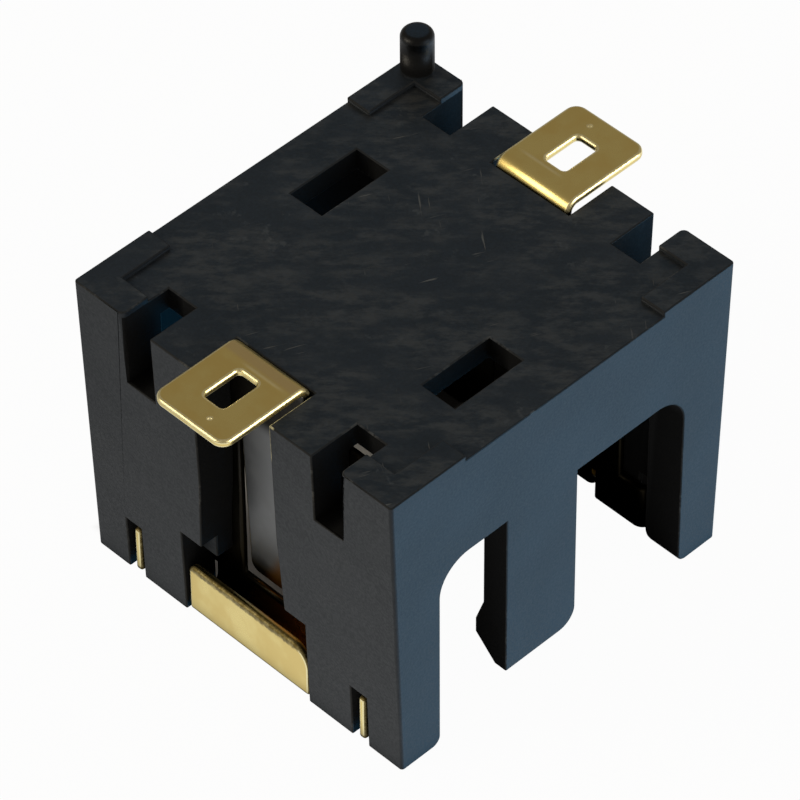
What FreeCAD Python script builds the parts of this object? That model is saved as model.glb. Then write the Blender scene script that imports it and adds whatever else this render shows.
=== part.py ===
# Coin cell holder for a circuit board: a moulded housing and two identical sheet contacts.
#
# The part stands on its four legs. Its mounting face, with the solder tabs and the
# locating peg, looks up, and the cell bay is open at the bottom.
# X runs across the holder, Y runs along the cell from contact to contact, Z is up, and
# the origin is on the floor in the middle. A half turn about Z leaves all but the peg
# as it was, so each feature is drawn once and its partner is a turned copy.

import math
import os

import FreeCAD
import Part
import Sketcher

# Driving sizes in millimetres. Each becomes a cell of the sheet with this alias.
SIZES = [
    ("cell_diameter", 11.6),
    ("cell_length", 10.8),
    ("side_play", 0.17),
    ("end_play", 0.2),
    ("leg_play", 0.05),
    ("side_wall", 1.03),
    ("end_wall", 1.64),
    ("end_draft", 0.38),
    ("height", 11.95),
    ("plate", 0.9),
    ("corner_wall", 1.5),
    ("corner_round", 0.12),
    ("leg_round", 0.35),
    ("leg_lead", 0.6),
    ("arch_height", 7.9),
    ("arch_round", 1.25),
    ("arm_width", 3.14),
    ("arm_shift", 0.96),
    ("arm_foot", 1.03),
    ("arm_round", 0.7),
    ("hook_reach", 0.34),
    ("hook_top", 3.5),
    ("hook_nose", 2.5),
    ("hook_land", 0.6),
    ("foot_land", 0.5),
    ("window_inset", 1.8),
    ("window_width", 1.42),
    ("window_length", 2.93),
    ("window_shift", 1.55),
    ("stand_height", 0.2),
    ("stand_strip", 1.0),
    ("stand_reach", 3.2),
    ("stand_foot", 1.15),
    ("notch_inset", 3.56),
    ("notch_width", 1.24),
    ("notch_depth", 2.85),
    ("notch_round", 0.22),
    ("slot_width", 3.44),
    ("slot_flare", 0.17),
    ("slot_straight", 5.2),
    ("recess_width", 5.64),
    ("recess_height", 3.65),
    ("web_wall", 0.7),
    ("web_height", 2.7),
    ("ear_room", 0.2),
    ("ear_slot_height", 2.3),
    ("peg_radius", 0.565),
    ("peg_height", 1.66),
    ("peg_inset", 0.08),
    ("peg_round", 0.25),
    ("sheet", 0.3),
    ("slot_play", 0.03),
    ("tab_width", 3.18),
    ("tab_reach", 1.78),
    ("tab_lift", 0.11),
    ("tab_bend", 0.2),
    ("tab_round", 0.45),
    ("hole_width", 0.89),
    ("hole_length", 1.53),
    ("hole_margin", 1.11),
    ("hole_round", 0.17),
    ("blade_width", 8.3),
    ("blade_gap", 0.1),
    ("base_width", 10.6),
    ("base_height", 1.9),
    ("base_gap", 0.05),
    ("ear_bend", 0.15),
    ("ear_set", 0.05),
    ("wing_width", 5.5),
    ("wing_height", 2.1),
    ("wing_floor", 0.1),
    ("wing_gap", 0.9),
    ("wing_round", 0.85),
    ("wing_corner", 0.3),
    ("relief_width", 0.3),
    ("relief_height", 1.3),
    ("tongue_width", 2.74),
    ("tongue_root", 8.5),
    ("tongue_tip", 1.9),
    ("tongue_lean", 0.25),
    ("tongue_slit", 0.1),
    ("tongue_round", 0.4),
]

# Places that several features share, each written once from the sheet.
BORE_X = "(Sizes.cell_diameter / 2 + Sizes.side_play)"
OUT_X = "(" + BORE_X + " + Sizes.side_wall)"
LEG_X = "(" + OUT_X + " - Sizes.corner_wall)"
LEG_Y = "(Sizes.cell_length / 2 + Sizes.leg_play)"
FACE_Y = "(Sizes.cell_length / 2 + Sizes.end_play)"
WALL_Y = "(" + FACE_Y + " + Sizes.sheet)"
OUT_Y = "(" + WALL_Y + " + Sizes.end_wall)"
SLOT_Y = "(" + FACE_Y + " - Sizes.slot_play)"
WEB_Y = "(" + WALL_Y + " + Sizes.web_wall)"
NOTCH_IN = "Sizes.notch_inset"
NOTCH_OUT = "(Sizes.notch_inset + Sizes.notch_width)"
NOTCH_FLOOR = "(Sizes.height - Sizes.notch_depth)"
STAND_TOP = "(Sizes.height + Sizes.stand_height)"
ARM_START = "(-Sizes.arm_shift - Sizes.arm_width / 2)"
ARM_END = "(-Sizes.arm_shift + Sizes.arm_width / 2)"
TAB_TOP = "(" + STAND_TOP + " + Sizes.tab_lift)"
TAB_TURN = "(Sizes.tab_bend + Sizes.sheet)"
TAB_TIP = "(" + OUT_Y + " + Sizes.tab_reach)"
HOLE_TIP = "(" + TAB_TIP + " - Sizes.hole_margin)"
EAR_TURN = "(Sizes.ear_bend + Sizes.sheet)"
EAR_X = "(Sizes.base_width / 2 - " + EAR_TURN + ")"
EAR_TIP = "(" + OUT_Y + " - Sizes.end_draft - Sizes.ear_set)"
WING_TURN = "(Sizes.wing_gap / 2 + Sizes.sheet)"
WING_Z = "(Sizes.wing_floor + " + WING_TURN + ")"
WING_MID_Y = "(" + FACE_Y + " + " + WING_TURN + ")"
WING_FACE_Y = "(" + FACE_Y + " + 2 * " + WING_TURN + ")"

# How far a cut runs past the face that it opens, so that it leaves no skin.
PAST = 1.0


def make_sheet(doc):
    """The spreadsheet of driving sizes: names in column A, numbers in column B."""
    sheet = doc.addObject("Spreadsheet::Sheet", "Sizes")
    for row, (alias, value) in enumerate(SIZES, start=1):
        sheet.set("A%d" % row, alias)
        sheet.set("B%d" % row, str(value))
        sheet.setAlias("B%d" % row, alias)
    doc.recompute()
    return sheet


def attach(body, name, role, level):
    """An empty sketch on one of the body's own origin planes, lifted along its normal."""
    sketch = body.newObject("Sketcher::SketchObject", name)
    planes = [entry for entry in body.Origin.OriginFeatures if entry.Role == role]
    sketch.AttachmentSupport = [(planes[0], "")]
    sketch.MapMode = "FlatFace"
    sketch.setExpression("AttachmentOffset.Base.z", level)
    return sketch


def pin_point(sketch, edge, point, across, up):
    """Hold one point of a sketch at two places measured from the sketch's origin."""
    drawn = sketch.getPoint(edge, point)
    for kind, start, place in (("DistanceX", drawn.x, across), ("DistanceY", drawn.y, up)):
        number = sketch.addConstraint(Sketcher.Constraint(kind, -1, 1, edge, point, start))
        sketch.setExpression("Constraints[%d]" % number, place)


def outline(body, name, role, level, corners):
    """A closed outline of straight edges. Each corner's two places come from the sheet."""
    sketch = attach(body, name, role, level)
    count = len(corners)
    turn = 2 * math.pi / count
    ring = [FreeCAD.Vector(math.cos(turn * i), math.sin(turn * i), 0) for i in range(count)]
    for i in range(count):
        sketch.addGeometry(Part.LineSegment(ring[i], ring[(i + 1) % count]), False)
    for i in range(count):
        sketch.addConstraint(Sketcher.Constraint("Coincident", i, 2, (i + 1) % count, 1))
    for i, (across, up) in enumerate(corners):
        pin_point(sketch, i, 1, across, up)
    return sketch


def box_corners(left, right, low, high):
    """The four corners of an upright rectangle."""
    return [(left, low), (right, low), (right, high), (left, high)]


def spandrel(body, name, role, level, corner, inward, radius):
    """The small piece between a square corner and the arc that rounds it.

    inward gives the signs of the way from the corner to the arc's centre.
    """
    sketch = attach(body, name, role, level)
    tip = FreeCAD.Vector(0, 0, 0)
    centre = FreeCAD.Vector(inward[0], inward[1], 0)
    upper = FreeCAD.Vector(0, inward[1], 0)
    side = FreeCAD.Vector(inward[0], 0, 0)
    start = math.atan2(upper.y - centre.y, upper.x - centre.x)
    end = math.atan2(side.y - centre.y, side.x - centre.x)
    swap = (end - start) % (2 * math.pi) > math.pi
    first, last = (end, start) if swap else (start, end)
    circle = Part.Circle(centre, FreeCAD.Vector(0, 0, 1), 1.0)
    sketch.addGeometry(Part.LineSegment(tip, upper), False)
    sketch.addGeometry(Part.LineSegment(tip, side), False)
    sketch.addGeometry(Part.ArcOfCircle(circle, first, last), False)
    upper_end, side_end = (2, 1) if swap else (1, 2)
    sketch.addConstraint(Sketcher.Constraint("Coincident", 0, 1, 1, 1))
    sketch.addConstraint(Sketcher.Constraint("Coincident", 0, 2, 2, upper_end))
    sketch.addConstraint(Sketcher.Constraint("Coincident", 1, 2, 2, side_end))
    sketch.addConstraint(Sketcher.Constraint("Vertical", 0))
    sketch.addConstraint(Sketcher.Constraint("Horizontal", 0, 2, 2, 3))
    sketch.addConstraint(Sketcher.Constraint("Vertical", 1, 2, 2, 3))
    pin_point(sketch, 0, 1, corner[0], corner[1])
    signs = ["%+d * " % sign for sign in inward]
    pin_point(sketch, 2, 3, corner[0] + signs[0] + radius, corner[1] + signs[1] + radius)
    return sketch


def elbow(body, name, role, level, centre, quarter, inner, outer):
    """A quarter ring: the section of a bend in the sheet. quarter counts from 0 to 3."""
    sketch = attach(body, name, role, level)
    begin = quarter * math.pi / 2
    origin = FreeCAD.Vector(0, 0, 0)
    for radius in (1.0, 2.0):
        circle = Part.Circle(origin, FreeCAD.Vector(0, 0, 1), radius)
        sketch.addGeometry(Part.ArcOfCircle(circle, begin, begin + math.pi / 2), False)
    for angle in (begin, begin + math.pi / 2):
        way = FreeCAD.Vector(math.cos(angle), math.sin(angle), 0)
        sketch.addGeometry(Part.LineSegment(way, way * 2), False)
    for arc, line_point in ((0, 1), (1, 2)):
        sketch.addConstraint(Sketcher.Constraint("Coincident", 2, line_point, arc, 1))
        sketch.addConstraint(Sketcher.Constraint("Coincident", 3, line_point, arc, 2))
    sketch.addConstraint(Sketcher.Constraint("Coincident", 0, 3, 1, 3))
    kinds = ("Horizontal", "Vertical") if quarter % 2 == 0 else ("Vertical", "Horizontal")
    for line, kind in zip((2, 3), kinds):
        sketch.addConstraint(Sketcher.Constraint(kind, line))
        sketch.addConstraint(Sketcher.Constraint(kind, line, 1, 0, 3))
    pin_point(sketch, 0, 3, centre[0], centre[1])
    for arc, radius in ((0, inner), (1, outer)):
        number = sketch.addConstraint(Sketcher.Constraint("Radius", arc, 1.0 + arc))
        sketch.setExpression("Constraints[%d]" % number, radius)
    return sketch


def pad(body, sketch, length, reverse=False, even=False):
    """Add the sketch's outline as a solid of the given length."""
    feature = body.newObject("PartDesign::Pad", sketch.Name + "_pad")
    feature.Profile = sketch
    feature.Reversed = reverse
    feature.SideType = "Symmetric" if even else "One side"
    feature.setExpression("Length", length)
    return feature


def cut(body, sketch, length, along_normal=True):
    """Cut the sketch's outline out of the body, along the plane's normal or against it."""
    feature = body.newObject("PartDesign::Pocket", sketch.Name + "_cut")
    feature.Profile = sketch
    feature.Reversed = along_normal
    feature.setExpression("Length", length)
    return feature


def round_edges(doc, body, feature, name, radius, chosen):
    """Round those edges of a feature's solid that a test picks out."""
    doc.recompute()
    solid = feature.Shape
    names = ["Edge%d" % i for i, edge in enumerate(solid.Edges, start=1) if chosen(edge, solid)]
    rounding = body.newObject("PartDesign::Fillet", name)
    rounding.Base = (feature, names)
    rounding.setExpression("Radius", radius)


def upright(edge, solid):
    """True for an edge that runs from the solid's foot to its top."""
    return edge.BoundBox.ZLength > solid.BoundBox.ZLength / 2


def topmost(edge, solid):
    """True for an edge that lies wholly in the solid's top."""
    return edge.BoundBox.ZMin > solid.BoundBox.ZMax - 1e-6


def half_turn(body, originals):
    """Repeat features half a turn round Z."""
    axes = [entry for entry in body.Origin.OriginFeatures if entry.Role == "Z_Axis"]
    pattern = body.newObject("PartDesign::PolarPattern", body.Name + "_pair")
    pattern.Originals = originals
    pattern.Axis = (axes[0], [""])
    pattern.Angle = 360
    pattern.Occurrences = 2
    body.Tip = pattern
    return pattern


def side_features(body):
    """One long side: the two arches, the snap arm between them and the arm's hook."""
    through = OUT_X + " + %g" % PAST
    low = "-%g" % PAST
    gap = outline(body, "side_gap", "YZ_Plane", "0", [
        ("-" + LEG_Y, low),
        (LEG_Y, low),
        (LEG_Y, "Sizes.arch_height"),
        (ARM_END, "Sizes.arch_height"),
        (ARM_END, "Sizes.hook_top"),
        (ARM_START, "Sizes.hook_top"),
        (ARM_START, "Sizes.arch_height"),
        ("-" + LEG_Y, "Sizes.arch_height"),
    ])
    features = [cut(body, gap, through)]
    for name, place, way in (("near_arch", "-" + LEG_Y, 1), ("far_arch", LEG_Y, -1)):
        corner = (place, "Sizes.arch_height")
        piece = spandrel(body, name, "YZ_Plane", BORE_X, corner, (way, -1), "Sizes.arch_round")
        features.append(pad(body, piece, "Sizes.side_wall"))
    nose_x = BORE_X + " - Sizes.hook_reach"
    hook = outline(body, "hook", "XZ_Plane", "-" + ARM_END, [
        (OUT_X, "Sizes.arm_foot"),
        (OUT_X, "Sizes.hook_top"),
        (BORE_X, "Sizes.hook_top"),
        (nose_x, "Sizes.hook_nose"),
        (nose_x, "Sizes.hook_nose - Sizes.hook_land"),
        (OUT_X + " - Sizes.foot_land", "Sizes.arm_foot"),
    ])
    features.append(pad(body, hook, "Sizes.arm_width"))
    corner = (ARM_END, "Sizes.arm_foot")
    toe = spandrel(body, "arm_toe", "YZ_Plane", "0", corner, (-1, 1), "Sizes.arm_round")
    features.append(cut(body, toe, through))
    for name, place, way in (("near_foot", "-" + LEG_Y, -1), ("far_foot", LEG_Y, 1)):
        piece = spandrel(body, name, "YZ_Plane", LEG_X, (place, "0"), (way, 1), "Sizes.leg_round")
        features.append(cut(body, piece, "Sizes.corner_wall + %g" % PAST))
    for name, level in (("near_lead", LEG_Y), ("far_lead", "-" + WALL_Y)):
        piece = spandrel(body, name, "XZ_Plane", level, (LEG_X, "0"), (1, 1), "Sizes.leg_lead")
        features.append(cut(body, piece, WALL_Y + " - " + LEG_Y))
    window = outline(body, "window", "XY_Plane", "Sizes.height", box_corners(
        OUT_X + " - Sizes.window_inset - Sizes.window_width",
        OUT_X + " - Sizes.window_inset",
        "-Sizes.window_shift - Sizes.window_length / 2",
        "-Sizes.window_shift + Sizes.window_length / 2",
    ))
    features.append(cut(body, window, "Sizes.plate + %g" % PAST, along_normal=False))
    return features


def stand_features(body):
    """Lower the mounting face, all but an L-shaped stand at each end of one side."""
    strip = OUT_X + " - Sizes.stand_strip"
    past_side = OUT_X + " + %g" % PAST
    past_end = "(" + OUT_Y + " + %g)" % PAST
    foot = "(" + OUT_Y + " - Sizes.stand_foot)"
    reach = "(" + OUT_Y + " - Sizes.stand_reach)"
    far = [
        (past_side, reach),
        (strip, reach),
        (strip, foot),
        (NOTCH_OUT, foot),
        (NOTCH_OUT, past_end),
        ("-%g" % PAST, past_end),
    ]
    near = [(across, "-" + up) for across, up in reversed(far)]
    lowered = outline(body, "lowered_face", "XY_Plane", "Sizes.height", near + far)
    return [cut(body, lowered, "Sizes.stand_height + %g" % PAST)]


def end_features(body):
    """One end wall: its two notches, the tab's slot, the wing's recess and the ear slots."""
    features = []
    top = STAND_TOP + " + %g" % PAST
    deep = top + " - " + NOTCH_FLOOR
    past_end = OUT_Y + " + %g" % PAST
    for side, sign, way in (("left", "-", -1), ("right", "", 1)):
        low, high = (sign + NOTCH_OUT, sign + NOTCH_IN) if sign else (NOTCH_IN, NOTCH_OUT)
        notch = outline(body, side + "_notch", "XY_Plane", top, box_corners(
            low, high, "-(" + past_end + ")", "-" + SLOT_Y))
        features.append(cut(body, notch, deep, along_normal=False))
        corner = (sign + NOTCH_OUT, "-" + OUT_Y)
        lip = spandrel(
            body, side + "_notch_lip", "XY_Plane", top, corner, (way, 1), "Sizes.notch_round")
        features.append(cut(body, lip, deep, along_normal=False))
        inner = sign + "(Sizes.base_width / 2 - Sizes.sheet - Sizes.ear_room)"
        outer = sign + "(Sizes.base_width / 2 + Sizes.ear_room)"
        low, high = (outer, inner) if sign else (inner, outer)
        ear = outline(body, side + "_ear_slot", "XZ_Plane", WALL_Y, box_corners(
            low, high, "-%g" % PAST, "Sizes.ear_slot_height"))
        features.append(cut(body, ear, "Sizes.end_wall + %g" % PAST))
    half_slot = "Sizes.slot_width / 2"
    half_flare = "(Sizes.slot_width / 2 + Sizes.slot_flare)"
    half_recess = "Sizes.recess_width / 2"
    half_outline = [
        (half_recess, "-%g" % PAST),
        (half_recess, "Sizes.web_height"),
        (half_flare, "Sizes.web_height"),
        (half_flare, "Sizes.recess_height"),
        (half_slot, "Sizes.height - Sizes.slot_straight"),
        (half_slot, top),
    ]
    mirrored = [("-" + across, up) for across, up in reversed(half_outline)]
    slot = outline(body, "tab_slot", "XZ_Plane", SLOT_Y, half_outline + mirrored)
    features.append(cut(body, slot, past_end + " - " + SLOT_Y))
    recess = outline(body, "wing_recess", "XZ_Plane", WEB_Y, box_corners(
        "-" + half_recess, half_recess, "-%g" % PAST, "Sizes.recess_height"))
    features.append(cut(body, recess, past_end + " - " + WEB_Y))
    return features


def make_housing(doc):
    """The moulded housing, one piece with its legs, snap arms, stands and peg."""
    body = doc.addObject("PartDesign::Body", "housing")
    body.Label = "housing"
    block = outline(body, "block", "YZ_Plane", "0", [
        ("-(" + OUT_Y + " - Sizes.end_draft)", "0"),
        (OUT_Y + " - Sizes.end_draft", "0"),
        (OUT_Y, STAND_TOP),
        ("-" + OUT_Y, STAND_TOP),
    ])
    solid = pad(body, block, "2 * " + OUT_X, even=True)
    round_edges(doc, body, solid, "block_corners", "Sizes.corner_round", upright)
    quarter = [(LEG_X, WALL_Y), (LEG_X, LEG_Y), (BORE_X, LEG_Y)]
    right = quarter + [(across, "-" + up) for across, up in reversed(quarter)]
    left = [("-" + across, up) for across, up in reversed(right)]
    bay = outline(body, "cell_bay", "XY_Plane", "0", right + left)
    cut(body, bay, "Sizes.height - Sizes.plate")
    features = side_features(body) + stand_features(body) + end_features(body)
    half_turn(body, features)
    add_peg(doc, body)
    return body


def add_peg(doc, body):
    """The locating peg on one stand, close to both outer faces, with a rounded head."""
    sketch = attach(body, "peg", "XY_Plane", "Sizes.height")
    centre = FreeCAD.Vector(-1, 1, 0)
    sketch.addGeometry(Part.Circle(centre, FreeCAD.Vector(0, 0, 1), 1.0), False)
    inward = " - Sizes.peg_inset - Sizes.peg_radius"
    pin_point(sketch, 0, 3, "-(" + OUT_X + inward + ")", OUT_Y + inward)
    number = sketch.addConstraint(Sketcher.Constraint("Radius", 0, 1.0))
    sketch.setExpression("Constraints[%d]" % number, "Sizes.peg_radius")
    peg = pad(body, sketch, "Sizes.stand_height + Sizes.peg_height")
    round_edges(doc, body, peg, "peg_head", "Sizes.peg_round", topmost)


def add_blade(body):
    """The flat blade behind the end wall, from the tab's bend down to the wing's bend."""
    half_tab = "Sizes.tab_width / 2"
    half_blade = "Sizes.blade_width / 2"
    half_wing = "Sizes.wing_width / 2"
    relief = "(Sizes.wing_width / 2 + Sizes.relief_width)"
    shoulder = "Sizes.height - Sizes.plate - Sizes.blade_gap"
    half_outline = [
        (half_wing, WING_Z),
        (half_wing, "Sizes.relief_height"),
        (relief, "Sizes.relief_height"),
        (relief, "Sizes.base_gap"),
        (EAR_X, "Sizes.base_gap"),
        (EAR_X, "Sizes.base_height"),
        (half_blade, "Sizes.base_height"),
        (half_blade, shoulder),
        (half_tab, shoulder),
        (half_tab, TAB_TOP + " - " + TAB_TURN),
    ]
    mirrored = [("-" + across, up) for across, up in reversed(half_outline)]
    blade = outline(body, "blade", "XZ_Plane", FACE_Y, half_outline + mirrored)
    pad(body, blade, "Sizes.sheet")


def add_tab(body):
    """The solder tab: a bend over the end wall and a flat with its solder hole."""
    centre = ("-(" + FACE_Y + " + " + TAB_TURN + ")", TAB_TOP + " - " + TAB_TURN)
    bend = elbow(body, "tab_bend", "YZ_Plane", "0", centre, 0, "Sizes.tab_bend", TAB_TURN)
    pad(body, bend, "Sizes.tab_width", even=True)
    under = TAB_TOP + " - Sizes.sheet"
    half_tab = "Sizes.tab_width / 2"
    flat = outline(body, "tab_flat", "XY_Plane", under, box_corners(
        "-" + half_tab, half_tab, "-" + TAB_TIP, centre[0]))
    pad(body, flat, "Sizes.sheet")
    half_hole = "Sizes.hole_width / 2"
    hole_root = "(" + HOLE_TIP + " - Sizes.hole_length)"
    hole = outline(body, "solder_hole", "XY_Plane", under, box_corners(
        "-" + half_hole, half_hole, "-" + HOLE_TIP, "-" + hole_root))
    cut(body, hole, "Sizes.sheet")
    for side, sign, way in (("left", "-", 1), ("right", "", -1)):
        corner = (sign + half_tab, "-" + TAB_TIP)
        piece = spandrel(
            body, side + "_tab_corner", "XY_Plane", under, corner, (way, 1), "Sizes.tab_round")
        cut(body, piece, "Sizes.sheet")
        for end, place, inward in (("tip", HOLE_TIP, 1), ("root", hole_root, -1)):
            corner = (sign + half_hole, "-" + place)
            piece = spandrel(
                body, side + "_hole_" + end, "XY_Plane", under, corner, (way, inward),
                "Sizes.hole_round")
            pad(body, piece, "Sizes.sheet")


def add_wing(body):
    """The wing: the blade's foot folded out and up, with a flat face to its lower edge."""
    centre = ("-" + WING_MID_Y, WING_Z)
    inner = "Sizes.wing_gap / 2"
    for name, quarter in (("wing_bend_in", 3), ("wing_bend_out", 2)):
        bend = elbow(body, name, "YZ_Plane", "0", centre, quarter, inner, WING_TURN)
        pad(body, bend, "Sizes.wing_width", even=True)
    half_wing = "Sizes.wing_width / 2"
    back = WING_FACE_Y + " - Sizes.sheet"
    flat = outline(body, "wing_flat", "XZ_Plane", back, box_corners(
        "-" + half_wing, half_wing, "Sizes.wing_floor", "Sizes.wing_height"))
    pad(body, flat, "Sizes.sheet")
    corners = (("wing_round", "", -1, "Sizes.wing_round"), ("wing_corner", "-", 1, "Sizes.wing_corner"))
    for name, sign, way, radius in corners:
        corner = (sign + half_wing, "Sizes.wing_height")
        piece = spandrel(body, name, "XZ_Plane", back, corner, (way, -1), radius)
        cut(body, piece, "Sizes.sheet")


def add_ears(body):
    """The two ears: the base's ends folded outwards into the slots of the end wall."""
    tall = "Sizes.base_height - Sizes.base_gap"
    turn_y = "-(" + FACE_Y + " + " + EAR_TURN + ")"
    for side, sign, quarter in (("left", "-", 1), ("right", "", 0)):
        centre = (sign + EAR_X, turn_y)
        bend = elbow(body, side + "_ear_bend", "XY_Plane", "Sizes.base_gap", centre, quarter,
                     "Sizes.ear_bend", EAR_TURN)
        pad(body, bend, tall)
        outer = sign + "Sizes.base_width / 2"
        inner = sign + "(Sizes.base_width / 2 - Sizes.sheet)"
        low, high = (outer, inner) if sign else (inner, outer)
        ear = outline(body, side + "_ear", "XY_Plane", "Sizes.base_gap", box_corners(
            low, high, "-" + EAR_TIP, turn_y))
        pad(body, ear, tall)


def add_tongue(body):
    """The spring tongue, lanced out of the blade and leaning towards the cell."""
    half_gap = "(Sizes.tongue_width / 2 + Sizes.tongue_slit)"
    gap = outline(body, "tongue_gap", "XZ_Plane", FACE_Y, box_corners(
        "-" + half_gap, half_gap, "Sizes.tongue_tip - 2 * Sizes.tongue_slit", "Sizes.tongue_root"))
    cut(body, gap, "Sizes.sheet")
    lean = outline(body, "tongue", "YZ_Plane", "0", [
        ("-" + FACE_Y, "Sizes.tongue_root"),
        ("-" + WALL_Y, "Sizes.tongue_root"),
        ("-" + WALL_Y + " + Sizes.tongue_lean", "Sizes.tongue_tip"),
        ("-" + FACE_Y + " + Sizes.tongue_lean", "Sizes.tongue_tip"),
    ])
    pad(body, lean, "Sizes.tongue_width", even=True)
    front = FACE_Y + " - Sizes.tongue_lean"
    for side, sign, way in (("left", "-", 1), ("right", "", -1)):
        corner = (sign + "Sizes.tongue_width / 2", "Sizes.tongue_tip")
        piece = spandrel(
            body, side + "_tongue_corner", "XZ_Plane", front, corner, (way, 1), "Sizes.tongue_round")
        cut(body, piece, "Sizes.tongue_lean + Sizes.sheet")


def make_contact(doc, label, turn):
    """One sheet contact, drawn at the front end and turned round Z to its own end."""
    body = doc.addObject("PartDesign::Body", label)
    body.Label = label
    add_blade(body)
    add_tab(body)
    add_wing(body)
    add_ears(body)
    add_tongue(body)
    body.Placement = FreeCAD.Placement(FreeCAD.Vector(0, 0, 0), FreeCAD.Vector(0, 0, 1), turn)
    return body


def check_document(doc):
    """Stop if any object of the document failed or any shape is unsound."""
    for entry in doc.Objects:
        if "Invalid" in entry.State or "Error" in entry.State:
            raise RuntimeError("%s did not build" % entry.Name)
        if hasattr(entry, "Shape") and not entry.Shape.isNull() and not entry.Shape.isValid():
            raise RuntimeError("%s has an unsound shape" % entry.Name)


def main():
    doc = FreeCAD.newDocument("CoinCellHolder")
    make_sheet(doc)
    pieces = [make_housing(doc)]
    for label, turn in (("front_contact", 0), ("back_contact", 180)):
        pieces.append(make_contact(doc, label, turn))
    doc.recompute()
    check_document(doc)
    os.makedirs("parts", exist_ok=True)
    for body in pieces:
        solids = len(body.Shape.Solids)
        print("%s: %d solid, %.2f cubic mm" % (body.Label, solids, body.Shape.Volume))
        body.Shape.exportStep("parts/%s.step" % body.Label)


main()
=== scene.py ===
# %% [markdown]
# # Dressing a coin cell holder
#
# The object is a board-mounted holder for one small round cell, 14 mm wide. It has a black
# moulded housing that stands on four legs, and two gold-plated sheet contacts that hook over
# its end walls. The solid model comes first and is loaded as a fixed frame: nothing in this
# file moves it. The lesson is about what Blender adds, which is soft edges, finishes with
# real wear in them, and light and a camera that show them as a product photograph does.
#
# Every size below is written in millimetres and turned into metres where it is used.

# %% Load the solid model
import math

import bmesh
import bpy
from mathutils import Matrix, Vector


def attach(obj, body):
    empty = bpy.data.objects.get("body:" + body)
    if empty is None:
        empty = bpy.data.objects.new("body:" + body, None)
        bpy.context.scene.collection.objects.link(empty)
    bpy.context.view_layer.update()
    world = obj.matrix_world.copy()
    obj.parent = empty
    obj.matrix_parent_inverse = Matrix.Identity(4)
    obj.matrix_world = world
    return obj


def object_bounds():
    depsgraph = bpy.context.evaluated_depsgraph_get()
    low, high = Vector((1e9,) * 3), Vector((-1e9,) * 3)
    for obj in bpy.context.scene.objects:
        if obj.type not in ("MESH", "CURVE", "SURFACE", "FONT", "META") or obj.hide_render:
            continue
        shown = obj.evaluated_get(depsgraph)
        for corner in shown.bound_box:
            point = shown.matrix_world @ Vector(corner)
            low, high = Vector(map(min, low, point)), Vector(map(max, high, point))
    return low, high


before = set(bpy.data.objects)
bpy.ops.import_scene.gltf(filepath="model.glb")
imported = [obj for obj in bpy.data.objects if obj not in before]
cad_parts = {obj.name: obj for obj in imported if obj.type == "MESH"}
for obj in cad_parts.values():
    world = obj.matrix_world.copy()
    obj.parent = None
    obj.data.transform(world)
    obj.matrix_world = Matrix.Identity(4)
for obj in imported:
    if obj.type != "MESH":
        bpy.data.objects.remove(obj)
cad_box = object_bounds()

MM = 0.001

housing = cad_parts["housing"]
contacts = [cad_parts["front_contact"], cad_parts["back_contact"]]
for node_name, node_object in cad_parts.items():
    print(node_name, "has", len(node_object.data.polygons), "faces from the solid model")

# %% [markdown]
# ## The camera
#
# The photograph was taken with a long lens from in front, to the right and above. A camera
# that only points roughly that way would never line up, so its place was worked out from the
# corners of the housing: how far round it stands, how high, how much it leans, and how far
# off it is. The lens is long because the object's edges run almost parallel in the picture.

# %% Place the camera
AIM = Vector((-1.145, 0.875, 5.002)) * MM
ROUND_ANGLE = math.radians(45.519)
HEIGHT_ANGLE = math.radians(45.272)
LEAN_ANGLE = math.radians(-0.452)
CAMERA_DISTANCE = 183.94 * MM
SENSOR_WIDTH = 36.0
LENS = 257.5
NEAREST = 1 * MM


def direction(azimuth, height):
    """The way to a place at two angles, in radians: 0, 0 is straight in front."""
    return Vector((
        math.sin(azimuth) * math.cos(height),
        -math.cos(azimuth) * math.cos(height),
        math.sin(height),
    ))


to_camera = direction(ROUND_ANGLE, HEIGHT_ANGLE)
level_right = (-to_camera).cross(Vector((0, 0, 1))).normalized()
level_up = to_camera.cross(level_right)
right = math.cos(LEAN_ANGLE) * level_right + math.sin(LEAN_ANGLE) * level_up
up = math.cos(LEAN_ANGLE) * level_up - math.sin(LEAN_ANGLE) * level_right

camera_data = bpy.data.cameras.new("camera")
camera_data.sensor_width = SENSOR_WIDTH
camera_data.lens = LENS
camera_data.clip_start = NEAREST
camera = bpy.data.objects.new("camera", camera_data)
turn = Matrix((right, up, to_camera)).transposed().to_4x4()
camera.matrix_world = Matrix.Translation(AIM + to_camera * CAMERA_DISTANCE) @ turn
bpy.context.collection.objects.link(camera)
bpy.context.scene.camera = camera
bpy.context.scene.view_settings.view_transform = "Standard"
print("camera stands", [round(value / MM, 1) for value in camera.location], "mm from the origin")

# %% [markdown]
# ## A small kit for building finishes
#
# A finish here is a graph of nodes. Written out one call at a time, such a graph is long and
# hard to follow, so small helpers carry the repeated work. The first cell adds nodes and does
# sums on them. The second makes what a finish is built from: soft steps, noise, bumps, and
# colours and numbers laid over each other. Sizes in a finish are in millimetres, because the
# coordinates are turned into millimetres at the start.

# %% Helpers for node graphs
def add(tree, kind, inputs, **settings):
    """A node whose inputs are filled with numbers, colours or other nodes' outputs."""
    node = tree.nodes.new(kind)
    for key, value in settings.items():
        setattr(node, key, value)
    for key, value in inputs.items():
        if isinstance(value, bpy.types.NodeSocket):
            tree.links.new(value, node.inputs[key])
        else:
            node.inputs[key].default_value = value
    return node


def sums(tree, operation, first, *others):
    """One kind of sum, taken through all the numbers or outputs in turn."""
    for other in others or (0.0,):
        node = add(tree, "ShaderNodeMath", {0: first, 1: other}, operation=operation)
        first = node.outputs[0]
    return first


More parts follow.
